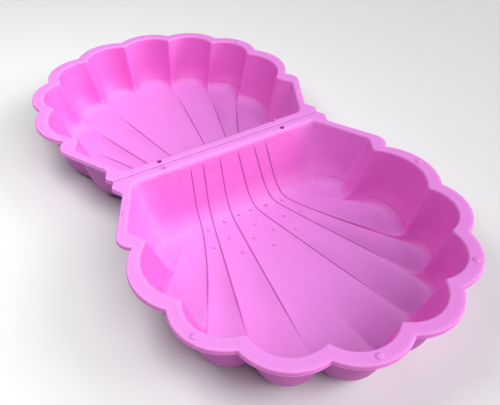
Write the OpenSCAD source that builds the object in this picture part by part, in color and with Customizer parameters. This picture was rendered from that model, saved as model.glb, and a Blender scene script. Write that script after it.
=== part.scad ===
// Scallop-shell sand pit: a base tray and a cover tray from the same mould.
// Each half is drawn with its straight edge along X and its shell towards +Y.
// The cover is used as drawn; the base is the same moulding turned about Z.

/* [Shell outline] */
// Distance from the straight edge to the centre of the shell circle
shell_y = 379; // [360:1:440]
// Radius from the shell centre to the crown of each lobe
lobe_r = 431; // [400:1:520]
// How far the outer cusps lie inside the crowns
cusp_in = 28; // [1:1:46]
// Angle between neighbouring cusps
cusp_step = 26; // [24:0.5:27]
// Length of the straight edge
seam_len = 662; // [550:1:680]
// Radius of the rounded corner beside the straight edge
corner_r = 44; // [30:1:60]
// Gap between the straight edges of the two halves
seam_gap = 0.6; // [0.4:0.2:6]

/* [Depth and walls] */
// Height of the rim above the ground
rim_h = 178; // [140:1:240]
// Thickness of the walls
wall_t = 3; // [2:0.2:5]
// Thickness of the floor
floor_t = 3; // [2:0.2:6]
// Height of the sloping band around the foot of the walls
foot_h = 48; // [20:1:60]

/* [Rim] */
// Width of the flat rim at the crown of each lobe
rim_w = 36; // [30:1:45]
// Width of the flat rim at the cusps
cusp_rim_w = 43; // [36:1:50]
// Width of the flat rim along the straight edge and the two short sides
side_rim_w = 29; // [26:1:36]
// Thickness of the rim
rim_t = 3; // [2:0.2:5]
// Depth of the turned-down lip
lip_h = 12; // [8:1:20]
// How far the bead on the lip stands out
bead_out = 0.8; // [0.4:0.1:1]
// Height of the bead on the lip
bead_h = 2.5; // [1.5:0.1:4]

/* [Draft] */
// How far the walls lean in over their height, at the lobes
lobe_lean = 18; // [5:1:30]
// How far the ridges between the lobes lean in over their height
ridge_lean = 46; // [34:1:54]
// How far the straight wall leans in over its height
seam_lean = 44; // [20:1:60]
// Width of the sloping band at the foot, at the lobes
foot_w = 34; // [20:1:40]

/* [Locating pegs and pips] */
// Distance of the peg and of the hole from the middle
peg_x = 190; // [150:1:230]
// Distance of the peg and of the hole from the straight edge
peg_y = 18; // [16:1:20]
// Radius of the peg at its foot
peg_r = 4.5; // [3:0.1:5]
// Radius of the peg at its tip
peg_tip_r = 2.5; // [1.5:0.1:3]
// Height of the peg
peg_h = 11; // [8:0.5:12]
// Gap all round between the peg's foot and its hole
peg_gap = 2.5; // [2:0.1:3.5]
// Height of the round pips on the rim
pip_h = 2.6; // [1.5:0.1:4]
// Radius of the round pips on the rim
pip_r = 9; // [6:0.5:12]
// Radius of the flat top of a pip
pip_top_r = 5.5; // [3:0.5:8]
// Gap over the pips when the cover lies on the base
pip_gap = 0.5; // [0.4:0.1:1]

/* [Floor] */
// Radius of the grip studs
stud_r = 4; // [3:0.5:6]
// Radius of the flat top of a grip stud
stud_top_r = 2.6; // [1.5:0.1:4]
// Height of the grip studs
stud_h = 2; // [1:0.1:3]
// Height of the fan ridges beside the straight wall
ridge_h = 1.2; // [0.8:0.1:2]
// Height of the fan ridges at the shell's edge
ridge_end_h = 6; // [3:0.5:8]

/* [Hidden] */

pink = "#ee88e4";
edge_y = seam_gap / 2 + bead_out;      // straight edge of one half, inside its bead
cusp_r = lobe_r - cusp_in;             // circle that the outer cusps lie on
cusp_a = [for (i = [3:-1:0]) 90 - i * cusp_step];   // cusps from the side to the middle
arc_n = 10;                            // steps along one lobe
fillet_n = 6;                          // steps round one corner
ear = [13, 22];                        // ear beside the end of the straight edge
notch = [-3, 58];                      // notch below the ear
round_stop = 120;                      // facets round a full circle
hole_r = peg_r + peg_gap;

// Points and curves ------------------------------------------------------

function polar(r, a) = [r * cos(a), shell_y + r * sin(a)];
function unit(v) = v / norm(v);
function mix(a, b, f) = a + (b - a) * f;

// Arc from p to q that bulges sag to the right of its chord, without q
function arc(p, q, sag) =
    let (d = q - p, half = norm(d) / 2,
         r = (half * half + sag * sag) / (2 * sag),
         centre = (p + q) / 2 - [d.y, -d.x] / norm(d) * (r - sag),
         first = atan2(p.y - centre.y, p.x - centre.x),
         sweep = 2 * asin(half / r))
    [for (i = [0:arc_n - 1]) centre + polar_step(r, first + sweep * i / arc_n)];
function polar_step(r, a) = r * [cos(a), sin(a)];

// Corner b of the path a, b, c rounded to radius r
function fillet(a, b, c, r) =
    let (u = unit(a - b), v = unit(c - b), half = acos(u * v) / 2,
         centre = b + unit(u + v) * r / sin(half),
         p = b + u * r / tan(half) - centre, q = b + v * r / tan(half) - centre,
         first = atan2(p.y, p.x),
         turn = atan2(p.x * q.y - p.y * q.x, p * q))
    [for (i = [0:fillet_n]) centre + polar_step(r, first + turn * i / fillet_n)];

// Lobes from the side cusp c1 round to the middle, with their cusps at radius r
function lobes(c1, r, crown) =
    let (c = concat([c1], [for (a = cusp_a) polar(r, a)]))
    [for (i = [0:len(c) - 2])
        let (m = (c[i] + c[i + 1]) / 2)
        each arc(c[i], c[i + 1], crown - norm(m - [0, shell_y]))];

// Whole outline from its right half, with the last cusp on the middle line
function both_sides(right, top) =
    concat(right, [[0, top]],
           [for (i = [len(right) - 1:-1:0]) [-right[i].x, right[i].y]]);

// Where the side of the half lobe, the corner and the side cusp lie on the rim
side_cusp = [cusp_r - 19, shell_y - 124];
corner = [cusp_r + 15, shell_y - 148];

// Outer edge of the rim, moved in by d
function rim_outline(d) =
    let (end = [seam_len / 2 - d, edge_y + d],
         e = [seam_len / 2 - d, edge_y] + ear,
         n = [seam_len / 2 - d, edge_y] + notch,
         k = corner + [-1.25, -0.2] * d,
         c1 = side_cusp + [-1.3, 0] * d)
    both_sides(concat([end], fillet(end, e, n, 7), fillet(e, n, k, 9),
                      fillet(n, k, c1, corner_r - d),
                      lobes(c1, cusp_r - 1.3 * d, lobe_r - d)),
               shell_y + cusp_r - 1.3 * d);

// Sections of the bowl: [height, cusp radius, crown radius, straight wall y,
//  hinge corner x, y, side corner x, y, side cusp x, y, hinge corner radius, side radius]
brim = [rim_h - rim_t, cusp_r - cusp_rim_w, lobe_r - rim_w, edge_y + side_rim_w,
        seam_len / 2 - 41, edge_y + side_rim_w, corner.x - 45, corner.y - 33,
        side_cusp.x - 42, side_cusp.y - 5, 16, 20];
foot = [foot_h, brim[1] - ridge_lean, brim[2] - lobe_lean, brim[3] + seam_lean,
        brim[4] - 17, brim[5] + seam_lean, brim[6] - 33, brim[7] - 32,
        brim[8] - 50, brim[9] - 10, 20, 24];
base = [floor_t, foot[1] - 8, foot[2] - foot_w, foot[3] + 36,
        foot[4] - 16, foot[5] + 36, foot[6] - 37, foot[7] + 14,
        foot[8] - 12, foot[9] - 12, 24, 24];

// The same section at the outer face of a wall t thick
function outside(s, t) =
    s + t * [0, 1.3, 1, -1.15, 0.7, -1.15, 1.2, -0.4, 1.2, -0.3, 0.6, 0.6];

// Outline of one section
function section(s) =
    both_sides(concat(fillet([0, s[3]], [s[4], s[5]], [s[6], s[7]], s[10]),
                      fillet([s[4], s[5]], [s[6], s[7]], [s[8], s[9]], s[11]),
                      lobes([s[8], s[9]], s[1], s[2])),
               shell_y + s[1]);
function at_height(outline, z) = [for (p = outline) [p.x, p.y, z]];

// Closed skin through a loop of rings, each ring with the same number of points
module loop_skin(rings) {
    count = len(rings[0]);
    loops = len(rings);
    polyhedron(
        points = [for (r = rings) each r],
        faces = [for (j = [0:loops - 1]) for (i = [0:count - 1])
            let (k = (j + 1) % loops, m = (i + 1) % count,
                 a = j * count + i, b = j * count + m,
                 c = k * count + m, d = k * count + i)
            each [[a, d, c], [a, c, b]]]);
}

// One half ---------------------------------------------------------------

module tray_floor() {
    color(pink) linear_extrude(floor_t) polygon(section(base));
}

module tray_wall() {
    floor_edge = section(base);
    outer_foot = outside(mix(foot, brim, 0), wall_t);
    color(pink) loop_skin([
        at_height(floor_edge, floor_t),
        at_height(section(foot), foot[0]),
        at_height(section(mix(foot, brim, 0.5)), mix(foot[0], brim[0], 0.5)),
        at_height(section(brim), brim[0]),
        at_height(section(outside(brim, wall_t)), brim[0]),
        at_height(section(outside(mix(foot, brim, 0.5), wall_t)), mix(foot[0], brim[0], 0.5)),
        at_height(section(outer_foot), foot[0] - floor_t),
        at_height(floor_edge, 0)]);
}

module tray_rim() {
    lip_z = rim_h - lip_h;
    color(pink) difference() {
        union() {
            translate([0, 0, lip_z]) linear_extrude(lip_h) polygon(rim_outline(0));
            translate([0, 0, lip_z]) linear_extrude(bead_h) polygon(rim_outline(-bead_out));
        }
        translate([0, 0, lip_z - 1]) linear_extrude(lip_h - rim_t + 1)
            polygon(rim_outline(wall_t));
        translate([0, 0, lip_z]) linear_extrude(lip_h + 1) polygon(section(brim));
        translate([-peg_x, edge_y + peg_y, lip_z])
            cylinder(h = lip_h + 1, r = hole_r, $fn = round_stop);
    }
}

// Fan ridges: [foot of the straight wall x, bend x, bend y, cusp number], the middle one apart
fans = [[38, 74, 315, 3], [100, 137, 285, 2], [136, 190, 260, 1]];
fan_n = 8;

// Point on a fan ridge, f from 0 at the straight wall to 1 at its cusp
function fan_point(p, q, r, f) =
    p * (1 - f) * (1 - f) + q * 2 * f * (1 - f) + r * f * f;

module ridge(p, q, r, start_h) {
    rings = [for (i = [0:fan_n])
        let (f = i / fan_n, h = mix(start_h, ridge_end_h, f), w = 2 * h,
             c = fan_point(p, q, r, f),
             along = unit(fan_point(p, q, r, f + 0.01) - fan_point(p, q, r, f - 0.01)),
             side = [along.y, -along.x] * w)
        [[c.x - side.x, c.y - side.y, floor_t], [c.x + side.x, c.y + side.y, floor_t],
         [c.x, c.y, floor_t + h]]];
    polyhedron(
        points = [for (s = rings) each s],
        faces = concat([[0, 2, 1], [3 * fan_n, 3 * fan_n + 1, 3 * fan_n + 2]],
            [for (j = [0:fan_n - 1]) for (i = [0:2])
                let (a = 3 * j + i, b = 3 * j + (i + 1) % 3)
                each [[a, b, b + 3], [a, b + 3, a + 3]]]));
}

module tray_fan_ridges() {
    end_r = base[1] - 2 * ridge_end_h;
    color(pink) {
        for (s = [-1, 1]) for (fan = fans)
            let (a = cusp_a[fan[3] - 1])
            ridge([s * fan[0], base[3] + 6], [s * fan[1], fan[2]],
                  [s * end_r * cos(a), shell_y + end_r * sin(a)], ridge_h);
        ridge([0, shell_y + 110], [0, shell_y + 200], [0, shell_y + end_r], ridge_h);
    }
}

// Grip studs as three rows across the root of the fan, each mirrored
studs = [[20, 118], [70, 122], [124, 126],
         [0, 176], [90, 187], [145, 196],
         [32, 222], [87, 255], [0, 274]];

module button(r, top_r, h) {
    cylinder(h = h, r1 = r, r2 = top_r, $fn = round_stop);
}

module tray_grip_studs() {
    color(pink) for (p = studs) for (s = p.x > 0 ? [-1, 1] : [1])
        translate([s * p.x, p.y, floor_t]) button(stud_r, stud_top_r, stud_h);
}

module tray_peg() {
    color(pink) translate([peg_x, edge_y + peg_y, rim_h]) {
        cylinder(h = peg_h - peg_tip_r, r1 = peg_r, r2 = peg_tip_r, $fn = round_stop);
        translate([0, 0, peg_h - peg_tip_r]) sphere(r = peg_tip_r, $fn = round_stop);
    }
}

// Every second lobe carries a pip, so the pips of the two halves never meet
module tray_rim_pips() {
    pip_at = lobe_r - rim_w / 2;
    side_start = [seam_len / 2, edge_y] + notch;
    along = unit(corner - side_start);
    side_pip = mix(side_start, corner, 0.41) + [-along.y, along.x] * side_rim_w / 2;
    angles = [90 - cusp_step * 5 / 2, 90 - cusp_step / 2,
              90 + cusp_step * 3 / 2, 90 + cusp_step * 3 + 15];
    color(pink) {
        for (a = angles)
            translate([each polar(pip_at, a), rim_h]) button(pip_r, pip_top_r, pip_h);
        translate([each side_pip, rim_h]) button(pip_r, pip_top_r, pip_h);
    }
}

module as_base() { rotate([0, 0, 180]) children(); }

as_base() tray_floor();  // base_floor
as_base() tray_wall();  // base_wall
as_base() tray_rim();  // base_rim
as_base() tray_fan_ridges();  // base_fan_ridges
as_base() tray_grip_studs();  // base_grip_studs
as_base() tray_peg();  // base_peg
as_base() tray_rim_pips();  // base_rim_pips
tray_floor();  // cover_floor
tray_wall();  // cover_wall
tray_rim();  // cover_rim
tray_fan_ridges();  // cover_fan_ridges
tray_grip_studs();  // cover_grip_studs
tray_peg();  // cover_peg
tray_rim_pips();  // cover_rim_pips
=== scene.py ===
"""Scallop-shell sand pit: a base tray and its cover, opened out side by side."""

from math import asin, cos, pi, radians, sin

import bmesh
import bpy
import numpy as np
from bpy.props import (
    FloatProperty,
    FloatVectorProperty,
    IntProperty,
    PointerProperty,
)
from mathutils import Matrix, Vector


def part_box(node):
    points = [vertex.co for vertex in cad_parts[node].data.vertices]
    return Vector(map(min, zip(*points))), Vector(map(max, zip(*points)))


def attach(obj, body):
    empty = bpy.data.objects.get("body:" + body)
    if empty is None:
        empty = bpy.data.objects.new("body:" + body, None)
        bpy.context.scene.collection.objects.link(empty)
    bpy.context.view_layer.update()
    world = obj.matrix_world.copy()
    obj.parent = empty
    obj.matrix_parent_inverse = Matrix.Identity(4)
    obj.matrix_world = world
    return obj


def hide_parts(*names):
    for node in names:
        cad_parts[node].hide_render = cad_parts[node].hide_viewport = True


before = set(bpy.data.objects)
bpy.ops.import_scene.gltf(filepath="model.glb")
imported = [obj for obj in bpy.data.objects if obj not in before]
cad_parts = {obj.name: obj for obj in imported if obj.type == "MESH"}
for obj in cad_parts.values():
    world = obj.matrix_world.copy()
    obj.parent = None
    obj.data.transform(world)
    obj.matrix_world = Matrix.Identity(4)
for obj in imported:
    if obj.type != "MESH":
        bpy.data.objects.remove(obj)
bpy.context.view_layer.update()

bl_info = {
    "name": "Shell sand pit",
    "version": (1, 0, 0),
    "blender": (4, 5, 0),
    "location": "3D View > Sidebar > Sand Pit",
    "description": "Builds a two-part scallop-shell sand pit round its CAD frame",
    "category": "Object",
}

RIM_LOW, RIM_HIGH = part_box("cover_rim")
FLOOR_LOW, FLOOR_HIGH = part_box("cover_floor")
PEG_LOW, PEG_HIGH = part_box("cover_peg")
HALVES = {"base": -1, "cover": 1}  # body name and the side of the seam it lies on
BEAD_OUT = 0.0008
DOME_SUNK = -0.3  # how deep a dome's flat underside is sunk, as a share of its height


# Sizes and colours --------------------------------------------------------


def length(name, default, description):
    """A length in metres that a user may change."""
    return FloatProperty(
        name=name, default=default, description=description, unit="LENGTH", precision=4
    )


def colour(name, default, description):
    """A surface colour that a user may change."""
    return FloatVectorProperty(
        name=name,
        default=default,
        description=description,
        subtype="COLOR",
        min=0,
        max=1,
    )


class ShellSizes(bpy.types.PropertyGroup):
    """Outline, depth and roundings of one tray."""

    shell_y: length("Shell centre", 0.379, "Straight edge to the shell's centre")
    cusp_r: length("Cusp radius", 0.403, "Radius through the outer cusps")
    lobe_r: length("Lobe radius", RIM_HIGH.x - BEAD_OUT, "Radius to the lobe crowns")
    seam_len: length("Straight edge", 0.662, "Length of the straight edge")
    edge_y: length("Edge gap", RIM_LOW.y + BEAD_OUT, "Seam line to the lip's face")
    rim_z: length("Rim height", RIM_HIGH.z, "Top of the flat rim")
    lip_z: length("Lip height", RIM_LOW.z, "Bottom of the turned-down lip")
    floor_z: length("Floor height", FLOOR_HIGH.z, "Top of the floor")
    foot_z: length("Wall foot", 0.048, "Where the wall meets the sloping band")
    wall: length("Wall", 0.003, "Thickness of the moulding")
    edge_round: length("Edge round", 0.0036, "Rounding of the rim's outer edge")
    seam_round: length("Seam round", 0.0016, "Rounding of the straight edge")
    brim_round: length("Brim round", 0.0055, "Rounding where rim turns into wall")
    seam_brim_round: length("Straight brim round", 0.011, "The same, at the straight wall")
    seam_foot_round: length("Straight foot round", 0.022, "Foot of the straight wall")
    foot_round: length("Foot round", 0.036, "Rounding at the foot of the walls")
    ridge_soft: length("Ridge softness", 0.0075, "How far upright ridges are rounded")
    flute: length("Flute depth", 0.014, "Height of the ridges between the flutes")


class TrimSizes(bpy.types.PropertyGroup):
    """Sizes of the small moulded features."""

    bead_r: length("Bead radius", 0.0011, "Radius of the bead round the lip")
    ridge_r: length("Ridge radius", 0.0019, "Radius of the fan ridges at the wall")
    stud_r: length("Stud radius", 0.0048, "Radius of a grip stud")
    stud_h: length("Stud height", 0.0032, "Height of a grip stud")
    pip_r: length("Pip radius", 0.009, "Radius of a rim pip")
    pip_h: length("Pip height", 0.0026, "Height of a rim pip")
    hole_r: length("Hole radius", 0.007, "Radius of the peg's hole")
    dome_steps: IntProperty(
        name="Dome steps", default=24, description="Faces round a stud or a pip"
    )


class FinishColours(bpy.types.PropertyGroup):
    """Colours of the plastic, of the shade and light painted on it, and of the stage."""

    # Painted light and painted shade: the flats take the paler pink and the upright walls the
    # deeper, more saturated pink, as lit and shaded copies of one plastic.
    pink: colour("Pink", (0.74, 0.235, 0.71), "Pink of the flats, paler as painted light")
    wall: colour("Wall pink", (0.78, 0.130, 0.57), "Pink of the walls, deeper as painted shade")
    # Painted shade: this dark tint is laid on the fan ridges, round the studs, on the seam's face
    # and on the outer walls below the lip.
    shadow_tint: colour("Shade tint", (0.36, 0.075, 0.33), "Painted shade along ridges, seam and outside")
    pale: colour("Pale pink", (0.86, 0.33, 0.78), "Plastic where it is rubbed")
    deep: colour("Deep pink", (0.69, 0.165, 0.61), "Plastic where the melt ran thick")
    ground: colour("Ground", (0.78, 0.78, 0.78), "Floor that the trays stand on")


# Plane curves -------------------------------------------------------------


def unit(v):
    return v / np.linalg.norm(v)


def mix(a, b, f):
    return a + (b - a) * f


def bunched(count):
    """Steps from 0 to 1, without 1, that lie closer together near both ends."""
    return (1 - np.cos(pi * np.arange(count) / count)) / 2


def arc(p, q, sag, steps):
    """Points from p towards q on an arc that bulges sag to the right of its chord."""
    half = np.linalg.norm(q - p) / 2
    r = (half * half + sag * sag) / (2 * sag)
    out = np.array([q[1] - p[1], p[0] - q[0]]) / (2 * half)
    centre = (p + q) / 2 - out * (r - sag)
    first = np.arctan2(*(p - centre)[::-1])
    turn = first + 2 * asin(half / r) * steps
    return centre + r * np.stack([np.cos(turn), np.sin(turn)], axis=1)


def fillet(a, b, c, r, count):
    """Corner b of the path a, b, c rounded to radius r, as count points."""
    u, v = unit(a - b), unit(c - b)
    half = np.arccos(u @ v) / 2
    centre = b + unit(u + v) * r / sin(half)
    p = b + u * r / np.tan(half) - centre
    q = b + v * r / np.tan(half) - centre
    turn = np.arctan2(p[0] * q[1] - p[1] * q[0], p @ q)
    angle = np.arctan2(p[1], p[0]) + turn * np.linspace(0, 1, count)
    return centre + r * np.stack([np.cos(angle), np.sin(angle)], axis=1)


def between(p, q, count):
    """Points that divide the line from p to q, without its ends."""
    f = np.arange(1, count + 1)[:, None] / (count + 1)
    return mix(p, q, f)


def blurred(loop, spread):
    """A closed loop of points, each the average of those within its spread along it."""
    step = np.linalg.norm(np.roll(loop, -1, axis=0) - loop, axis=1)
    place = np.concatenate([[0], np.cumsum(step)[:-1]])
    whole = step.sum()
    share = (step + np.roll(step, 1)) / 2
    gap = np.abs(place[:, None] - place[None, :])
    gap = np.minimum(gap, whole - gap)
    weight = np.exp(-((gap / spread[:, None]) ** 2) / 2) * share[None, :]
    return weight @ loop / weight.sum(axis=1, keepdims=True)


# One tray, drawn with its straight edge on X and its shell towards +Y ------

CUSP_STEP = radians(26)
CUSP_ANGLES = [pi / 2 - i * CUSP_STEP for i in (3, 2, 1, 0)]
SIDE_CUSP = (-0.019, -0.124)  # side cusp from the point at cusp_r beside the centre
CORNER = (0.015, -0.148)  # corner from the same point
EAR = (0.013, 0.022)  # tip of the ear from the end of the straight edge
EAR_R = 0.007
NOTCH = (-0.003, 0.058)  # inner end of the ear from the same point
NOTCH_R = 0.009
CORNER_R = 0.044

# How far three levels of the bowl lie inside the rim's outline, at its cusps, its lobe
# crowns, the ends of the straight edge, the corners and the side cusps, and the radii of
# the corners beside the straight wall and at the side.
BRIM_IN = {
    "cusp": 0.043,
    "crown": 0.036,
    "end": (0.041, -0.029),
    "corner": (0.045, 0.033),
    "side_cusp": (0.042, 0.005),
    "radii": (0.016, 0.020),
}
FOOT_IN = {
    "cusp": 0.089,
    "crown": 0.054,
    "end": (0.058, -0.073),
    "corner": (0.078, 0.065),
    "side_cusp": (0.092, 0.015),
    "radii": (0.020, 0.024),
}
BASE_IN = {
    "cusp": 0.097,
    "crown": 0.088,
    "end": (0.074, -0.109),
    "corner": (0.115, 0.051),
    "side_cusp": (0.104, 0.027),
    "radii": (0.024, 0.024),
}

# Places along the straight wall of the three fan lines on each side, at each level
BRIM_FAN = (0.120, 0.081, 0.029)
FOOT_FAN = (0.131, 0.093, 0.035)
BASE_FAN = (0.136, 0.100, 0.038)
FAN_BOW = (0, -0.010, -0.022, 0, 0)  # sideways bow of the paths over the floor at each line

END_COLUMNS = 19  # columns from the end of the straight edge to the corner lobe
CORNER_COLUMNS = 9
CUSP_COLUMNS = 3
LOBE_COLUMNS = 26
ROOT_COLUMNS = 5  # columns round the corner beside the straight wall
FLOOR_ROWS = 50
BRIM_ROW = 10  # first row that bends down from the rim
EDGE_ROWS = (2, 7)  # rows round the rim's outer edge, which wears
WORN_BRIM = (9, 14)  # rows where the rim turns into the wall, which wear less
BRIM_WEAR = 0.7
SOFTER_DOWN = ((0, 0.6, 1), (0.25, 1, 0.6))  # depth, and share of the ridge softness there
CORNER_REACH = 0.010  # crowded points at the floor's corners are thinned this far out
CORNER_WELD = 0.0022
CORNER_SPAN = (10, 24)  # columns over which the straight wall's softer corners end
CORNER_SOFTER = 3.2
FLUTE_START, MIDDLE_START = 0.12, 0.45  # where the flutes begin to rise along the floor
SIDE_FLUTE = 0.35  # height of the flutes at the side cusps, as a share of the others


class Tray:
    """Works out the surface of one moulding as a grid of columns and rows."""

    def __init__(self, sizes):
        self.s = sizes
        self.side_cusp = np.array([sizes.cusp_r, sizes.shell_y]) + SIDE_CUSP
        self.corner = np.array([sizes.cusp_r, sizes.shell_y]) + CORNER
        self.brim = self.level(BRIM_IN)
        self.foot = self.level(FOOT_IN)
        self.base = self.level(BASE_IN)
        self.outline = self.outer()
        self.columns = len(self.outline)
        self.lines = self.cusp_columns()
        self.outline = self.ease_cusps(self.outline, 2, (0, 2))
        for ring, reach in ((self.brim, 3), (self.foot, 4), (self.base, 3)):
            ring["far"] = self.ease_cusps(ring["far"], reach, (1, 4))

    def polar(self, r, a):
        return np.array([r * cos(a), self.s.shell_y + r * sin(a)])

    def lobes(self, side_cusp, cusp_r, crown_r):
        """Lobes from the side cusp to the middle line, with the last cusp."""
        cusps = [side_cusp] + [self.polar(cusp_r, a) for a in CUSP_ANGLES]
        centre = np.array([0, self.s.shell_y])
        runs = []
        for p, q in zip(cusps, cusps[1:]):
            sag = crown_r - np.linalg.norm((p + q) / 2 - centre)
            runs.append(arc(p, q, sag, bunched(LOBE_COLUMNS)))
        return np.concatenate(runs + [cusps[-1:]])

    def both_sides(self, right):
        return np.concatenate([right, (right * (-1, 1))[-2::-1]])

    def ease_cusps(self, ring, reach, side_reach):
        """The ring with its cusps rounded over that many columns on each side."""
        ring = ring.copy()
        for i, c in enumerate(self.lines):
            before = after = reach
            if i == 0:
                before, after = side_reach
            if i == len(self.lines) - 1:
                after, before = side_reach
            part = ring[c - before : c + after + 1]
            steps = np.linalg.norm(np.diff(part, axis=0), axis=1)
            f = np.concatenate([[0], np.cumsum(steps)])[:, None] / steps.sum()
            ring[c - before : c + after + 1] = (
                part[0] * (1 - f) ** 2 + ring[c] * 2 * f * (1 - f) + part[-1] * f * f
            )
        return ring

    def level(self, inset):
        """Outline of the bowl at one height, and its straight side's columns."""
        s = self.s
        hinge = np.array([s.seam_len / 2, s.edge_y]) - inset["end"]
        side = self.corner - inset["corner"]
        cusp = self.side_cusp - inset["side_cusp"]
        radii = inset["radii"]
        turn = fillet(np.array([0, hinge[1]]), hinge, side, radii[0], 9)
        round_side = fillet(hinge, side, cusp, radii[1], CORNER_COLUMNS)
        far = np.concatenate(
            [
                turn[4:],
                between(turn[-1], round_side[0], END_COLUMNS - ROOT_COLUMNS),
                round_side,
                between(round_side[-1], cusp, CUSP_COLUMNS),
                self.lobes(cusp, s.cusp_r - inset["cusp"], s.lobe_r - inset["crown"]),
            ]
        )
        return {"far": self.both_sides(far), "turn": turn[4::-1]}

    def outer(self):
        """Outer edge of the rim, one point for each column."""
        s = self.s
        end = np.array([s.seam_len / 2, s.edge_y])
        ear, notch = end + EAR, end + NOTCH
        ear_round = fillet(end, ear, notch, EAR_R, 5)
        notch_round = fillet(ear, notch, self.corner, NOTCH_R, 5)
        side_round = fillet(notch, self.corner, self.side_cusp, CORNER_R, CORNER_COLUMNS)
        return self.both_sides(
            np.concatenate(
                [
                    [end],
                    ear_round,
                    notch_round,
                    between(notch_round[-1], side_round[0], END_COLUMNS - 11),
                    side_round,
                    between(side_round[-1], self.side_cusp, CUSP_COLUMNS),
                    self.lobes(self.side_cusp, s.cusp_r, s.lobe_r),
                ]
            )
        )

    def cusp_columns(self):
        """Column of each cusp, from the side cusp on the right round to the left."""
        first = END_COLUMNS + CORNER_COLUMNS + CUSP_COLUMNS
        right = [first + i * LOBE_COLUMNS for i in range(5)]
        return right + [self.columns - 1 - c for c in right[-2::-1]]

    def root_x(self, first, knots):
        """Places along the straight wall of all columns; knots are its fan lines."""
        c = self.lines
        at = [ROOT_COLUMNS - 1, c[1], c[2], c[3], c[4]]
        return np.interp(np.arange(at[0], c[4] + 1), at, [first, *knots, 0])

    def root(self, section, knots):
        """The straight wall's line at one height, one point for each column."""
        turn = section["turn"]
        x = self.root_x(turn[-1][0], knots)[1:]
        line = np.stack([x, np.full(len(x), turn[-1][1])], axis=1)
        return self.both_sides(np.concatenate([turn, line]))

    def flute_height(self, v):
        """Ridge height over the floor at v, 0 at the straight wall and 1 at the lobes."""
        c = self.lines
        t = np.arange(self.columns, dtype=float)
        crest = np.zeros(self.columns)
        gains = [SIDE_FLUTE, 1, 1, 1, 1, 1, 1, 1, SIDE_FLUTE]
        for i, (a, b) in enumerate(zip(c, c[1:])):
            across = (1 - np.cos(pi * (t[a : b + 1] - a) / (b - a))) / 2
            gain = mix(gains[i], gains[i + 1], across)
            crest[a : b + 1] = gain * (1 - np.sin(pi * across))
        side = CUSP_COLUMNS + 2
        ease = np.linspace(0, 1, side + 1) ** 2 * gains[0]
        crest[c[0] - side : c[0] + 1] = ease
        crest[c[-1] : c[-1] + side + 1] = ease[::-1]
        start = np.full(self.columns, FLUTE_START)
        middle = abs(t - c[4]) <= LOBE_COLUMNS / 2
        start[middle] = MIDDLE_START
        rise = np.clip((v - start) / (1 - start), 0, 1)
        return self.s.flute * crest * rise**1.3

    def floor_point(self, v):
        """Floor surface at v along every column's path."""
        path = (
            self.near * (1 - v) ** 2 + self.bend * 2 * v * (1 - v) + self.far * v**2
        )
        flat_v = np.broadcast_to(v, (self.columns, 1))[:, 0]
        z = self.s.floor_z + self.flute_height(flat_v)
        return np.column_stack([path, z])

    def profile(self, outline, brim, foot, end, floor_end, rounds):
        """Rows from the lip's bottom edge over the rim and down to the floor."""
        s = self.s
        edge_r, brim_r, foot_r = rounds
        top = np.full(len(outline), s.rim_z)

        def at(plane, z):
            return np.column_stack([plane, np.broadcast_to(z, len(plane))])

        def curve(a, b, c, count):
            f = np.linspace(0, 1, count)
            return [a * (1 - t) ** 2 + b * 2 * t * (1 - t) + c * t * t for t in f]

        def toward(a, b, r):
            gap = b - a
            span = np.linalg.norm(gap, axis=1, keepdims=True)
            return a + gap / span * np.minimum(np.reshape(r, (-1, 1)), span * 0.5)

        out3, brim3 = at(outline, top), at(brim, top)
        foot3 = at(foot, s.foot_z)
        rows = [at(outline, s.lip_z), at(outline, s.lip_z + 0.004)]
        side = at(outline, top - edge_r)
        rows += curve(side, out3, toward(out3, brim3, edge_r), 5)
        rows += [mix(rows[-1], toward(brim3, out3, brim_r), f) for f in (0.33, 0.67)]
        wall_top = toward(brim3, foot3, brim_r * 1.2)
        rows += curve(toward(brim3, out3, brim_r), brim3, wall_top, 6)
        wall_end = toward(foot3, brim3, foot_r)
        rows += [mix(wall_top, wall_end, f) for f in np.linspace(0, 1, 9)[1:-1]]
        band_top = toward(foot3, end, foot_r)
        rows += curve(wall_end, foot3, band_top, 6)
        band_end = toward(end, foot3, foot_r)
        rows += [mix(band_top, band_end, 0.5)]
        rows += curve(band_end, end, floor_end, 6)
        return rows

    def grid(self):
        """All rows of the moulding, from the straight edge to the lobes' lip."""
        s, c = self.s, self.lines
        self.far = self.base["far"]
        self.near = self.root(self.base, BASE_FAN)
        self.bend = (self.near + self.far) / 2
        shift = np.interp(np.arange(c[4] + 1), [0, *c[:4]], FAN_BOW)
        shift = np.concatenate([shift, -shift[-2::-1]])
        self.bend[:, 0] += shift
        length_ = np.linalg.norm(self.far - self.near, axis=1)
        set_in = np.minimum(s.foot_round * 0.8, 0.4 * length_)
        v0 = (set_in / np.maximum(length_, 1e-6))[:, None]

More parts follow.
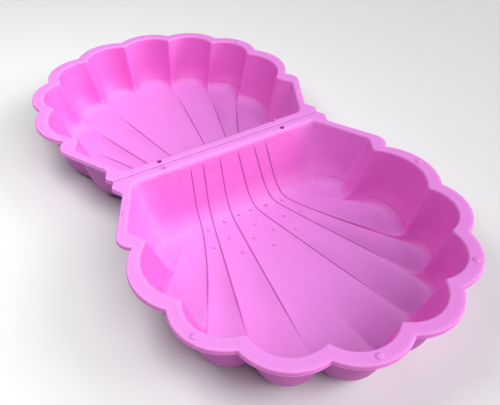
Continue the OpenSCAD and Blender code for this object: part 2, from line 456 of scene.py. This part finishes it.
        column = np.arange(self.columns)
        past = np.minimum(column, self.columns - 1 - column)
        ease = np.clip(past / 3, 0, 1)
        same = np.ones(self.columns)
        far_rounds = (
            mix(s.seam_round, s.edge_round, ease),
            same * s.brim_round,
            same * s.foot_round,
        )
        ease = np.clip((past - 2) / 6, 0, 1)
        near_rounds = (
            same * s.seam_round,
            mix(s.brim_round, s.seam_brim_round, ease),
            mix(s.foot_round, s.seam_foot_round, ease),
        )
        brim_root = self.root(self.brim, BRIM_FAN)
        foot_root = self.root(self.foot, FOOT_FAN)
        seam = brim_root * (s.seam_len / 2 / brim_root[0][0], 0) + (0, s.edge_y)
        near = self.profile(
            seam, brim_root, foot_root, self.floor_edge(0), self.floor_point(v0), near_rounds
        )
        far = self.profile(
            self.outline,
            self.brim["far"],
            self.foot["far"],
            self.floor_edge(1),
            self.floor_point(1 - v0),
            far_rounds,
        )
        steps = np.linspace(0, 1, FLOOR_ROWS + 2)[1:-1]
        middle = [self.floor_point(mix(v0, 1 - v0, f)) for f in steps]
        near, far, moved = self.soften(np.array(near), np.array(far))
        fade = mix(1, 4, np.clip(length_ / 0.15, 0, 1))[:, None]
        for row, f in zip(middle, steps):
            row += moved[0] * (1 - f) ** fade + moved[1] * f**fade
        self.near_count = len(near)
        self.near_end = near[-1]
        self.floor_rows = np.array(middle)
        return np.concatenate([near, self.floor_rows, far[::-1]])

    def soften(self, near, far):
        """Rounds the upright ridges and corners, more and more towards the floor."""
        count = self.columns
        before = near[-1].copy(), far[-1].copy()
        past = np.minimum(np.arange(count), np.arange(count)[::-1])
        softer = np.interp(past, CORNER_SPAN, (CORNER_SOFTER, 1))
        softer = np.concatenate([softer, np.full(count - 2, CORNER_SOFTER)])
        for row in range(BRIM_ROW, len(near)):
            depth = (row - BRIM_ROW) / (len(near) - 1 - BRIM_ROW)
            loop = np.concatenate([far[row], near[row][-2:0:-1]])
            spread = self.s.ridge_soft * np.interp(depth, *SOFTER_DOWN)
            loop = blurred(loop, spread * softer)
            far[row] = loop[:count]
            near[row][1:-1] = loop[count:][::-1]
            near[row][0], near[row][-1] = loop[0], loop[count - 1]
        return near, far, (near[-1] - before[0], far[-1] - before[1])

    def floor_edge(self, v):
        return self.floor_point(np.full((self.columns, 1), float(v)))


def turned(points, side):
    """The tray's points for the half on that side of the seam."""
    return np.asarray(points, float) * (side, side, 1)


# Meshes and objects -------------------------------------------------------


def settings():
    return bpy.context.scene.sand_pit


def add_object(name, mesh):
    piece = bpy.data.objects.new(name, mesh)
    bpy.context.scene.collection.objects.link(piece)
    return piece


def mesh_from(name, points, edges=(), faces=()):
    mesh = bpy.data.meshes.new(name)
    mesh.from_pydata([tuple(p) for p in points], list(edges), list(faces))
    mesh.update()
    return mesh


def bake_modifiers(piece):
    """Turns what the modifiers make into the piece's own mesh."""
    graph = bpy.context.evaluated_depsgraph_get()
    result = bpy.data.meshes.new_from_object(piece.evaluated_get(graph))
    piece.modifiers.clear()
    piece.data = result
    return piece


def finish_piece(piece, body, *nodes):
    """Hangs a finished piece from its body and hides the CAD nodes that it stands for."""
    if nodes:
        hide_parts(*nodes)
    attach(piece, body)


def soft_edges(mesh, degrees):
    for polygon in mesh.polygons:
        polygon.use_smooth = True
    mesh.set_sharp_from_angle(angle=radians(degrees))


# Shader maths -------------------------------------------------------------


class Value:
    """A node socket that takes part in Python expressions."""

    def __init__(self, tree, socket):
        self.tree = tree
        self.socket = socket

    def node(self, kind, values=None, out=0, **settings_):
        """Adds a node: its settings first, then the values or links of its inputs."""
        made = self.tree.nodes.new(kind)
        for key, value in settings_.items():
            setattr(made, key, value)
        for key, value in (values or {}).items():
            if isinstance(value, Value):
                self.tree.links.new(value.socket, made.inputs[key])
            else:
                made.inputs[key].default_value = value
        return Value(self.tree, made.outputs[out])

    def maths(self, operation, *values):
        return self.node("ShaderNodeMath", dict(enumerate(values)), operation=operation)

    def __add__(self, other):
        return self.maths("ADD", self, other)

    def __mul__(self, other):
        return self.maths("MULTIPLY", self, other)

    __radd__ = __add__
    __rmul__ = __mul__

    def clamped(self, low, high):
        """This value stretched so that low becomes 0 and high becomes 1."""
        return self.node(
            "ShaderNodeMapRange",
            {"Value": self, "From Min": low, "From Max": high},
            clamp=True,
        )

    def blend(self, a, b):
        """Colour a where this value is 0, and b where it is 1."""
        return self.node("ShaderNodeMix", {0: self, 6: a, 7: b}, out=2, data_type="RGBA")


def new_material(name):
    """A material with its shader, and a Value to start expressions from."""
    material = bpy.data.materials.new(name)
    material.use_nodes = True
    tree = material.node_tree
    shader = tree.nodes["Principled BSDF"]
    return material, shader, Value(tree, None)


def noise(at, place, scale, detail=2.0, roughness=0.5):
    return at.node(
        "ShaderNodeTexNoise",
        {"Vector": place, "Scale": scale, "Detail": detail, "Roughness": roughness},
    )


def plug(value, shader, name):
    value.tree.links.new(value.socket, shader.inputs[name])


def pink_plastic():
    """Satin moulded polyethylene, cloudy in the melt and rubbed on its edges, with painted shade
    on its walls, ridges, seam and outer sides and painted light on its flats.
    """
    made = bpy.data.materials.get("pink_polyethylene")
    if made:
        return made
    tints = settings().colours
    made, shader, at = new_material("pink_polyethylene")
    place = at.node("ShaderNodeTexCoord", out=3)
    cloud = noise(at, place, 3.2, 3.0).clamped(0.3, 0.7)
    fleck = noise(at, place, 46.0, 4.0, 0.6).clamped(0.35, 0.75)
    worn = at.node("ShaderNodeAttribute", out=2, attribute_name="wear")
    scuffed = at.node("ShaderNodeAttribute", out=2, attribute_name="floor")
    scratch_place = at.node("ShaderNodeMapping", {"Vector": place, "Scale": (34.0, 5.0, 5.0)})
    scratch = noise(at, scratch_place, 9.0, 6.0, 0.62).clamped(0.60, 0.74)
    rubbed = worn * noise(at, place, 190.0, 4.0).clamped(0.25, 0.75)

    # Painted shade: upright points take the deeper wall pink, and flat points the paler pink.
    upright = at.node("ShaderNodeAttribute", out=2, attribute_name="upright")
    body = upright.blend((*tints.pink, 1), (*tints.wall, 1))
    body = (cloud * 0.30).blend(body, (*tints.deep, 1))
    body = (fleck * 0.10).blend(body, (*tints.pale, 1))
    body = (rubbed * 0.55).blend(body, (*tints.pale, 1))
    body = (scratch * scuffed * 0.28).blend(body, (*tints.pale, 1))
    # Painted shade: the dark tint, mottled by noise, goes on the ridges, the stud sides, the
    # seam's face and the outer walls.
    shade_share = at.node("ShaderNodeAttribute", out=2, attribute_name="painted_shade")
    shade_mottle = noise(at, place, 30.0, 3.0).clamped(0.2, 0.8)
    body = (shade_share * (0.55 + shade_mottle * 0.35)).blend(body, (*tints.shadow_tint, 1))
    plug(body, shader, "Base Color")

    rough = 0.47 + cloud * 0.05 + fleck * 0.05 + rubbed * 0.12 + scratch * scuffed * 0.10
    plug(rough, shader, "Roughness")

    ripple = noise(at, place, 9.0, 1.0)
    peel = noise(at, place, 420.0, 2.0)
    relief = ripple * 0.6 + peel * 0.035 + scratch * scuffed * 0.02
    bump = at.node("ShaderNodeBump", {"Strength": 0.25, "Distance": 0.004, "Height": relief})
    plug(bump, shader, "Normal")
    shader.inputs["IOR"].default_value = 1.5
    return made


def ground_finish():
    """Matt pale studio floor."""
    made, shader, at = new_material("studio_ground")
    place = at.node("ShaderNodeTexCoord", out=3)
    tone = settings().colours.ground
    patch = noise(at, place, 1.5).clamped(0.3, 0.7) * 0.02
    plug(patch.blend((*tone, 1), (0.74, 0.74, 0.74, 1)), shader, "Base Color")
    shader.inputs["Roughness"].default_value = 0.9
    return made


# Geometry node trees ------------------------------------------------------


class NodeTree:
    """A geometry node tree with named inputs."""

    def __init__(self, name):
        self.tree = bpy.data.node_groups.new(name, "GeometryNodeTree")
        self.add_socket("Geometry", "NodeSocketGeometry", "INPUT")
        self.add_socket("Geometry", "NodeSocketGeometry", "OUTPUT")
        self.start = self.tree.nodes.new("NodeGroupInput")
        self.end = self.tree.nodes.new("NodeGroupOutput")

    def add_socket(self, name, kind, way):
        return self.tree.interface.new_socket(name=name, socket_type=kind, in_out=way)

    def size(self, name, default):
        self.add_socket(name, "NodeSocketFloat", "INPUT").default_value = default
        return self.start.outputs[name]

    def node(self, kind, values=None, **settings_):
        made = self.tree.nodes.new(kind)
        for key, value in settings_.items():
            setattr(made, key, value)
        for key, value in (values or {}).items():
            if isinstance(value, bpy.types.NodeSocket):
                self.tree.links.new(value, made.inputs[key])
            else:
                made.inputs[key].default_value = value
        return made

    def close(self, geometry, material):
        real = self.node("GeometryNodeRealizeInstances", {"Geometry": geometry})
        smooth = self.node("GeometryNodeSetShadeSmooth", {"Geometry": real.outputs[0]})
        paint = self.node(
            "GeometryNodeSetMaterial", {"Geometry": smooth.outputs[0], "Material": material}
        )
        self.tree.links.new(paint.outputs[0], self.end.inputs[0])


def domes_tree():
    """Low round domes, one on each point."""
    made = bpy.data.node_groups.get("Domes on points")
    if made:
        return made
    t = NodeTree("Domes on points")
    radius = t.size("Radius", 0.004)
    height = t.size("Height", 0.002)
    ball = t.node(
        "GeometryNodeMeshUVSphere",
        {"Segments": settings().trim.dome_steps, "Rings": 14, "Radius": 1.0},
    )
    cut = t.node(
        "ShaderNodeVectorMath",
        {0: t.node("GeometryNodeInputPosition").outputs[0], 1: (-2, -2, DOME_SUNK)},
        operation="MAXIMUM",
    )
    cap_inputs = {"Geometry": ball.outputs[0], "Position": cut.outputs[0]}
    cap = t.node("GeometryNodeSetPosition", cap_inputs)
    scale = t.node("ShaderNodeCombineXYZ", {0: radius, 1: radius, 2: height})
    dome = t.node(
        "GeometryNodeInstanceOnPoints",
        {
            "Points": t.node("GeometryNodeMeshToPoints", {"Mesh": t.start.outputs[0]}).outputs[0],
            "Instance": cap.outputs[0],
            "Scale": scale.outputs[0],
        },
    )
    t.close(dome.outputs[0], pink_plastic())
    return t.tree


def sweep_tree():
    """A round bar along each path, thinned by the path's own thickness attribute."""
    made = bpy.data.node_groups.get("Round bar along path")
    if made:
        return made
    t = NodeTree("Round bar along path")
    radius = t.size("Radius", 0.001)
    path = t.node("GeometryNodeMeshToCurve", {"Mesh": t.start.outputs[0]})
    thin = t.node("GeometryNodeInputNamedAttribute", {"Name": "thickness"}, data_type="FLOAT")
    sized = t.node(
        "GeometryNodeSetCurveRadius", {"Curve": path.outputs[0], "Radius": thin.outputs[0]}
    )
    ring = t.node("GeometryNodeCurvePrimitiveCircle", {"Resolution": 10, "Radius": radius})
    bar_inputs = {"Curve": sized.outputs[0], "Profile Curve": ring.outputs[0], "Fill Caps": True}
    bar = t.node("GeometryNodeCurveToMesh", bar_inputs)
    if "Scale" in bar.inputs:
        t.tree.links.new(thin.outputs[0], bar.inputs["Scale"])
    t.close(bar.outputs[0], pink_plastic())
    return t.tree


def grow(piece, tree, **sizes):
    """Runs a geometry node tree on a piece and keeps the mesh that it makes."""
    modifier = piece.modifiers.new(tree.name, "NODES")
    modifier.node_group = tree
    for socket in tree.interface.items_tree:
        if socket.in_out == "INPUT" and socket.name in sizes:
            modifier[socket.identifier] = sizes[socket.name]
    return bake_modifiers(piece)


# Pieces -------------------------------------------------------------------


def shell_mesh(name, tray, side):
    """The whole moulding of one half: lip, rim, walls and fluted floor."""
    grid = tray.grid()
    rows, columns = grid.shape[:2]
    cells = grid.reshape(-1, 3)
    faces = [
        (r * columns + c, (r + 1) * columns + c, (r + 1) * columns + c + 1, r * columns + c + 1)
        for r in range(rows - 1)
        for c in range(columns - 1)
    ]
    mesh = mesh_from(name, turned(cells, side), faces=faces)
    wear = np.zeros(rows)
    for span, amount in ((EDGE_ROWS, 1), (WORN_BRIM, BRIM_WEAR)):
        for row in range(*span):
            wear[row] = wear[rows - 1 - row] = amount
    low = np.clip(1 - (cells[:, 2] - tray.s.floor_z) / (tray.s.rim_z * SCUFFED), 0, 1)
    add_attribute(mesh, "wear", np.repeat(wear, columns))
    add_attribute(mesh, "floor", low)
    return mesh


FLAT = 0.97  # upward share of the normal above which a surface counts as flat
UPRIGHT_SPAN = 0.5
OUTWARD = 0.4  # outward share of the normal from which a wall counts as outside
CORNER_X = (0.20, 0.10)  # where the corners with less painted wall shade begin along X, and how far they fade
CORNER_Y = (0.25, 0.09)  # the same along Y, back towards the straight edge
CORNER_SHADE_LIFT = 0.6  # how far those corners lose the painted wall shade, as painted light
OUTSIDE_SHADE = 0.85  # how much of the dark tint is painted on the walls outside, as painted shade
# how much of the dark tint is painted on a stud's sides, as painted shade
STUD_SHADE = 0.8
SCUFFED = 0.12  # height over the floor that is scuffed, as a share of the rim's height


def eased(f):
    f = np.clip(f, 0, 1)
    return f * f * (3 - 2 * f)


def mark_painted_shade(mesh):
    """Notes how upright each point is, 0 on flats and 1 on walls, as the mask of the painted wall
    shade, which is lifted again as painted light at the corners beside the straight wall, and
    where shade is painted along the seam and on the outer walls.
    """
    sizes = settings().shell
    facing = np.array([vertex.normal for vertex in mesh.vertices])
    place = np.array([vertex.co for vertex in mesh.vertices])
    x, y, z = np.abs(place).T
    # The upright mask below carries the painted wall shade.
    tilt = eased((FLAT - np.abs(facing[:, 2])) / UPRIGHT_SPAN)
    # Painted light: near the corners beside the straight wall, the painted wall shade is partly
    # taken off again.
    corner = eased((x - CORNER_X[0]) / CORNER_X[1]) * eased((CORNER_Y[0] - y) / CORNER_Y[1])
    add_attribute(mesh, "upright", tilt * (1 - CORNER_SHADE_LIFT * corner))
    # Painted shade on the seam's face below the rim and on the outer walls below the lip.
    seam = (y < sizes.edge_y + 0.0004) & (z < sizes.rim_z - 0.0005)
    out = place[:, :2] - np.sign(place[:, 1:2]) * (0, sizes.shell_y)
    outward = (facing[:, :2] * out).sum(axis=1) / np.linalg.norm(out, axis=1)
    outside = eased(outward / OUTWARD) * (z < sizes.lip_z)
    add_attribute(mesh, "painted_shade", np.maximum(seam, OUTSIDE_SHADE * outside))
    return np.float32(tilt)


def add_attribute(mesh, name, values):
    layer = mesh.attributes.new(name, "FLOAT", "POINT")
    layer.data.foreach_set("value", np.asarray(values, np.float32))


def is_flap(face):
    """Whether a face hangs by one edge from two others that already meet there."""
    shared = [len(edge.link_faces) for edge in face.edges]
    return min(shared) == 1 and max(shared) > 2


def weld(mesh, corners, distance=1e-5):
    """Joins the grid's meeting edges and drops its collapsed, hanging and folded faces."""
    work = bmesh.new()
    work.from_mesh(mesh)
    bmesh.ops.remove_doubles(work, verts=work.verts, dist=distance)
    for corner in corners:
        close = [v for v in work.verts if (v.co - corner).length < CORNER_REACH]
        bmesh.ops.remove_doubles(work, verts=close, dist=CORNER_WELD)
    bmesh.ops.dissolve_degenerate(work, dist=distance / 10, edges=work.edges)
    folds = True
    while folds:
        flaps = [face for face in work.faces if is_flap(face)]
        bmesh.ops.delete(work, geom=flaps, context="FACES")
        folds = [edge for edge in work.edges if len(edge.link_faces) > 2]
        bmesh.ops.collapse(work, edges=folds)
    work.to_mesh(mesh)
    work.free()


def hole_place(side):
    """Middle of the peg's hole in one half; the peg lies across from it."""
    peg = (PEG_LOW + PEG_HIGH) / 2
    return Vector((-peg.x * side, peg.y * side, RIM_HIGH.z))


def peg_place(side):
    peg = (PEG_LOW + PEG_HIGH) / 2
    return Vector((peg.x * side, peg.y * side, RIM_HIGH.z))


def drill(piece, centre, radius):
    """Cuts a round hole straight down through the rim."""
    work = bmesh.new()
    bmesh.ops.create_cone(
        work,
        cap_ends=True,
        segments=48,
        radius1=radius,
        radius2=radius,
        depth=0.02,
        matrix=Matrix.Translation(centre),
    )
    mesh = bpy.data.meshes.new("drill")
    work.to_mesh(mesh)
    work.free()
    bit = add_object("drill", mesh)
    cut = piece.modifiers.new("hole", "BOOLEAN")
    cut.operation = "DIFFERENCE"
    cut.solver = "EXACT"
    cut.object = bit
    bake_modifiers(piece)
    bpy.data.objects.remove(bit)


class SANDPIT_OT_shells(bpy.types.Operator):
    """Build the two mouldings with their rims, walls and fluted floors"""

    bl_idname = "sandpit.shells"
    bl_label = "Trays"

    def execute(self, context):
        tray = Tray(settings().shell)
        for half, side in HALVES.items():
            mesh = shell_mesh(f"{half}_shell", tray, side)
            corners = turned(tray.near_end[[0, -1]], side)
            weld(mesh, [Vector(corner) for corner in corners])
            piece = add_object(f"{half}_shell", mesh)
            thick = piece.modifiers.new("wall", "SOLIDIFY")
            thick.thickness = tray.s.wall
            thick.offset = -1
            bake_modifiers(piece)
            drill(piece, hole_place(side), settings().trim.hole_r)
            for vertex in piece.data.vertices:
                vertex.co.z = max(vertex.co.z, 0)
            piece.data.materials.clear()
            piece.data.materials.append(pink_plastic())
            soft_edges(piece.data, 40)
            # Paints shade on the walls, the seam and the outer walls, and light on the flats,
            # through the masks it stores.
            mark_painted_shade(piece.data)
            finish_piece(piece, half, f"{half}_floor", f"{half}_wall", f"{half}_rim")
        return {"FINISHED"}


def path_mesh(name, paths):
    """Paths of (points, thickness, closed) as one mesh of edges."""
    points, edges, thickness = [], [], []
    for line, thin, closed in paths:
        first = len(points)
        points += [tuple(p) for p in line]
        thickness += list(thin)
        count = len(line)
        edges += [(first + i, first + i + 1) for i in range(count - 1)]
        if closed:
            edges.append((first + count - 1, first))
    mesh = mesh_from(name, points, edges=edges)
    add_attribute(mesh, "thickness", thickness)
    return mesh


class SANDPIT_OT_beads(bpy.types.Operator):
    """Run the bead round the bottom of each lip"""

    bl_idname = "sandpit.beads"
    bl_label = "Lip beads"

    def execute(self, context):
        tray = Tray(settings().shell)
        trim = settings().trim
        z = tray.s.lip_z + trim.bead_r
        for half, side in HALVES.items():
            line = np.column_stack([tray.outline, np.full(tray.columns, z)])
            inward = trim.bead_r - BEAD_OUT
            centre = np.array([0, tray.s.shell_y, z])
            line = centre + (line - centre) * (1 - inward / tray.s.lobe_r)
            line[[0, -1], 1] = tray.s.edge_y + inward
            mesh = path_mesh(
                f"{half}_lip_bead", [(turned(line, side), np.ones(len(line)), True)]
            )
            piece = add_object(f"{half}_lip_bead", mesh)
            grow(piece, sweep_tree(), Radius=trim.bead_r)
            finish_piece(piece, half)
        return {"FINISHED"}


RIDGE_TAPERS = (0.02, 0.2)  # shares of a ridge's length over which its ends thin out


class SANDPIT_OT_fan_ridges(bpy.types.Operator):
    """Lay the fan of fine ridges down the straight wall and over the floor"""

    bl_idname = "sandpit.fan_ridges"
    bl_label = "Fan ridges"

    def execute(self, context):
        tray = Tray(settings().shell)
        grid = tray.grid()
        first, last = BRIM_ROW + 4, tray.near_count + len(tray.floor_rows) - 2
        for half, side in HALVES.items():
            paths = []
            for line in tray.lines[1:4] + tray.lines[5:8]:
                points = grid[first:last, line]
                f = np.linspace(0, 1, len(points))
                start, end = RIDGE_TAPERS
                thin = np.clip(f / start, 0.05, 1) * np.clip((1 - f) / end, 0.05, 1)
                paths.append((turned(points, side), thin, False))
            piece = add_object(f"{half}_fan_ridges", path_mesh(f"{half}_fan_ridges", paths))
            grow(piece, sweep_tree(), Radius=settings().trim.ridge_r)
            # Painted shade: the ridges take the deep wall pink and the full dark tint, for the
            # shade along their sides.
            for name in ("upright", "painted_shade"):
                add_attribute(piece.data, name, np.ones(len(piece.data.vertices)))
            finish_piece(piece, half, f"{half}_fan_ridges")
        return {"FINISHED"}


# The grip studs of one side and of the middle line, as X and Y from the straight edge
STUDS = (
    (0.020, 0.118),
    (0.070, 0.122),
    (0.124, 0.126),
    (0.0, 0.176),
    (0.090, 0.187),
    (0.145, 0.196),
    (0.032, 0.222),
    (0.087, 0.255),
    (0.0, 0.274),
)


class SANDPIT_OT_grip_studs(bpy.types.Operator):
    """Set the grip studs in three rows across the root of the fan"""

    bl_idname = "sandpit.grip_studs"
    bl_label = "Grip studs"

    def execute(self, context):
        tray, trim = Tray(settings().shell), settings().trim
        inside = tray.grid()[BRIM_ROW:].reshape(-1, 3)
        places = []
        for x, y in list(STUDS) + [(-x, y) for x, y in STUDS if x]:
            under = inside[np.argmin((inside[:, 0] - x) ** 2 + (inside[:, 1] - y) ** 2)]
            places.append((x, y, under[2]))
        for half, side in HALVES.items():
            mesh = mesh_from(f"{half}_grip_studs", turned(places, side))
            piece = add_object(f"{half}_grip_studs", mesh)
            grow(piece, domes_tree(), Radius=trim.stud_r, Height=trim.stud_h)
            # Painted shade: the studs' sides take the deep wall pink and, by how upright they
            # are, the dark tint.
            tilt = mark_painted_shade(piece.data)
            piece.data.attributes["painted_shade"].data.foreach_set("value", STUD_SHADE * tilt)
            finish_piece(piece, half, f"{half}_grip_studs")
        return {"FINISHED"}


PIP_IN = 0.018  # from the lobe crowns to the pips
PIP_LOBES = (-2.5, -0.5, 1.5)  # lobes that carry a pip, counted from the middle line
LAST_PIP = CUSP_STEP * 3 + radians(15)
SIDE_PIP = (0.066, 0.095)  # from the pip beside the straight edge to the corner


class SANDPIT_OT_rim_pips(bpy.types.Operator):
    """Set a round pip on every second lobe of each rim"""

    bl_idname = "sandpit.rim_pips"
    bl_label = "Rim pips"

    def execute(self, context):
        tray, trim = Tray(settings().shell), settings().trim
        r = tray.s.lobe_r - PIP_IN
        turns = [CUSP_STEP * lobe for lobe in PIP_LOBES] + [LAST_PIP]
        places = [tray.polar(r, pi / 2 + turn) for turn in turns]
        places.append(tray.corner - SIDE_PIP)
        places = [(*p, tray.s.rim_z) for p in places]
        for half, side in HALVES.items():
            piece = add_object(
                f"{half}_rim_pips", mesh_from(f"{half}_rim_pips", turned(places, side))
            )
            grow(piece, domes_tree(), Radius=trim.pip_r, Height=trim.pip_h)
            # Painted shade: the pips' sides take the deep wall pink by how upright they are.
            mark_painted_shade(piece.data)
            finish_piece(piece, half, f"{half}_rim_pips")
        return {"FINISHED"}


PEG_TIP = 0.55  # radius of a peg's tip, as a share of its foot's
PEG_FACES = 40


class SANDPIT_OT_pegs(bpy.types.Operator):
    """Turn the locating pegs that stand beside the straight edges"""

    bl_idname = "sandpit.pegs"
    bl_label = "Locating pegs"

    def execute(self, context):
        foot_r = (PEG_HIGH.x - PEG_LOW.x) / 2
        height = PEG_HIGH.z - PEG_LOW.z
        tip_r = foot_r * PEG_TIP
        outline = [(foot_r, -0.002), (foot_r, 0.0006), (foot_r * 0.93, 0.0018)]
        outline += [(tip_r * 1.04, height - tip_r)]
        outline += [
            (tip_r * cos(a), height - tip_r + tip_r * sin(a))
            for a in np.linspace(0.15, pi / 2 - 0.05, 7)
        ]
        around = PEG_FACES
        for half, side in HALVES.items():
            centre = peg_place(side)
            points = [
                (centre.x + r * cos(t), centre.y + r * sin(t), centre.z + z)
                for r, z in outline
                for t in np.linspace(0, 2 * pi, around, endpoint=False)
            ]
            faces = []
            for j in range(len(outline) - 1):
                low, high = j * around, (j + 1) * around
                for i in range(around):
                    k = (i + 1) % around
                    faces.append((low + i, low + k, high + k, high + i))
            top = (len(outline) - 1) * around
            faces += [tuple(range(top, top + around)), tuple(range(around - 1, -1, -1))]
            mesh = mesh_from(f"{half}_peg_turned", points, faces=faces)
            mesh.materials.append(pink_plastic())
            soft_edges(mesh, 50)
            piece = add_object(f"{half}_peg_turned", mesh)
            finish_piece(piece, half, f"{half}_peg")
        return {"FINISHED"}


# Stage --------------------------------------------------------------------

CAMERA_TARGET = Vector((-0.0684, -0.2624, RIM_HIGH.z))
CAMERA_AZIMUTH = radians(-30.73)
CAMERA_ELEVATION = radians(40.32)
CAMERA_ROLL = radians(-0.78)
CAMERA_DISTANCE = 1.4547
CAMERA_LENS = 41.72
GROUND_HALF = 6
GROUND_Z = -0.0005
SKY = (0.95, 0.98, 1.0, 1)
SKY_STRENGTH = 0.12
# Name, kind, azimuth and elevation in degrees, power, and spread in degrees or metres
LAMPS = (("key", "SUN", 15, 48, 1.42, 40), ("low", "SUN", 58, 25, 2.6, 40))
OVERHEAD = ("overhead", "AREA", 0, 90, 27, 1.2)
OVERHEAD_PLACE = (-0.9, 0.3, 1.9)


def away(azimuth, elevation):
    """Direction from the object to a viewer or a lamp."""
    return Vector(
        (
            sin(azimuth) * cos(elevation),
            -cos(azimuth) * cos(elevation),
            sin(elevation),
        )
    )


def add_camera():
    back = away(CAMERA_AZIMUTH, CAMERA_ELEVATION)
    right = Vector((cos(CAMERA_AZIMUTH), sin(CAMERA_AZIMUTH), 0))
    up = back.cross(right)
    turn = Matrix.Rotation(CAMERA_ROLL, 3, back)
    axes = Matrix((turn @ right, turn @ up, back)).transposed().to_4x4()
    data = bpy.data.cameras.new("view")
    data.lens = CAMERA_LENS
    data.clip_start = 0.01
    camera = add_object("view", data)
    camera.matrix_world = Matrix.Translation(CAMERA_TARGET + back * CAMERA_DISTANCE) @ axes
    bpy.context.scene.camera = camera


def add_lamp(name, kind, azimuth, elevation, power, spread):
    """A soft lamp that faces the middle of the object from that direction."""
    data = bpy.data.lights.new(name, kind)
    data.energy = power
    lamp = add_object(name, data)
    back = away(radians(azimuth), radians(elevation))
    lamp.rotation_euler = back.to_track_quat("Z", "Y").to_euler()
    if kind == "SUN":
        data.angle = radians(spread)
    else:
        data.shape = "SQUARE"
        data.size = spread
    return lamp


class SANDPIT_OT_stage(bpy.types.Operator):
    """Lay the pale floor, hang the soft lamps and place the camera"""

    bl_idname = "sandpit.stage"
    bl_label = "Stage"

    def execute(self, context):
        corners = [(x, y, GROUND_Z) for x, y in ((-1, -1), (1, -1), (1, 1), (-1, 1))]
        corners = [(x * GROUND_HALF, y * GROUND_HALF, z) for x, y, z in corners]
        ground = add_object("ground", mesh_from("ground", corners, faces=[(0, 1, 2, 3)]))
        ground.data.materials.append(ground_finish())
        world = bpy.data.worlds.new("studio")
        world.use_nodes = True
        backdrop = world.node_tree.nodes["Background"]
        backdrop.inputs["Color"].default_value = SKY
        backdrop.inputs["Strength"].default_value = SKY_STRENGTH
        context.scene.world = world
        for lamp in LAMPS:
            add_lamp(*lamp)
        add_lamp(*OVERHEAD).location = OVERHEAD_PLACE
        add_camera()
        context.scene.view_settings.view_transform = "Standard"
        return {"FINISHED"}


# Add-on -------------------------------------------------------------------


class SandPit(bpy.types.PropertyGroup):
    """All that a user may change."""

    shell: PointerProperty(type=ShellSizes)
    trim: PointerProperty(type=TrimSizes)
    colours: PointerProperty(type=FinishColours)


BUILD_STEPS = (
    SANDPIT_OT_stage,
    SANDPIT_OT_shells,
    SANDPIT_OT_beads,
    SANDPIT_OT_fan_ridges,
    SANDPIT_OT_grip_studs,
    SANDPIT_OT_rim_pips,
    SANDPIT_OT_pegs,
)


class SANDPIT_PT_panel(bpy.types.Panel):
    """Lists the sizes, the colours and the pieces"""

    bl_label = "Shell sand pit"
    bl_space_type = "VIEW_3D"
    bl_region_type = "UI"
    bl_category = "Sand Pit"

    def draw(self, context):
        pit = context.scene.sand_pit
        for group in (pit.shell, pit.trim, pit.colours):
            box = self.layout.box()
            for name in group.bl_rna.properties.keys():
                if name not in ("rna_type", "name"):
                    box.prop(group, name)
        for step in BUILD_STEPS:
            self.layout.operator(step.bl_idname)


CLASSES = (ShellSizes, TrimSizes, FinishColours, SandPit, *BUILD_STEPS, SANDPIT_PT_panel)


def register():
    for cls in CLASSES:
        bpy.utils.register_class(cls)
    bpy.types.Scene.sand_pit = PointerProperty(type=SandPit)


def unregister():
    del bpy.types.Scene.sand_pit
    for cls in reversed(CLASSES):
        bpy.utils.unregister_class(cls)


def main():
    """Builds the stage and every piece."""
    register()
    bpy.ops.sandpit.stage()
    bpy.ops.sandpit.shells()
    bpy.ops.sandpit.beads()
    bpy.ops.sandpit.fan_ridges()
    bpy.ops.sandpit.grip_studs()
    bpy.ops.sandpit.rim_pips()
    bpy.ops.sandpit.pegs()


if __name__ == "__main__":
    main()
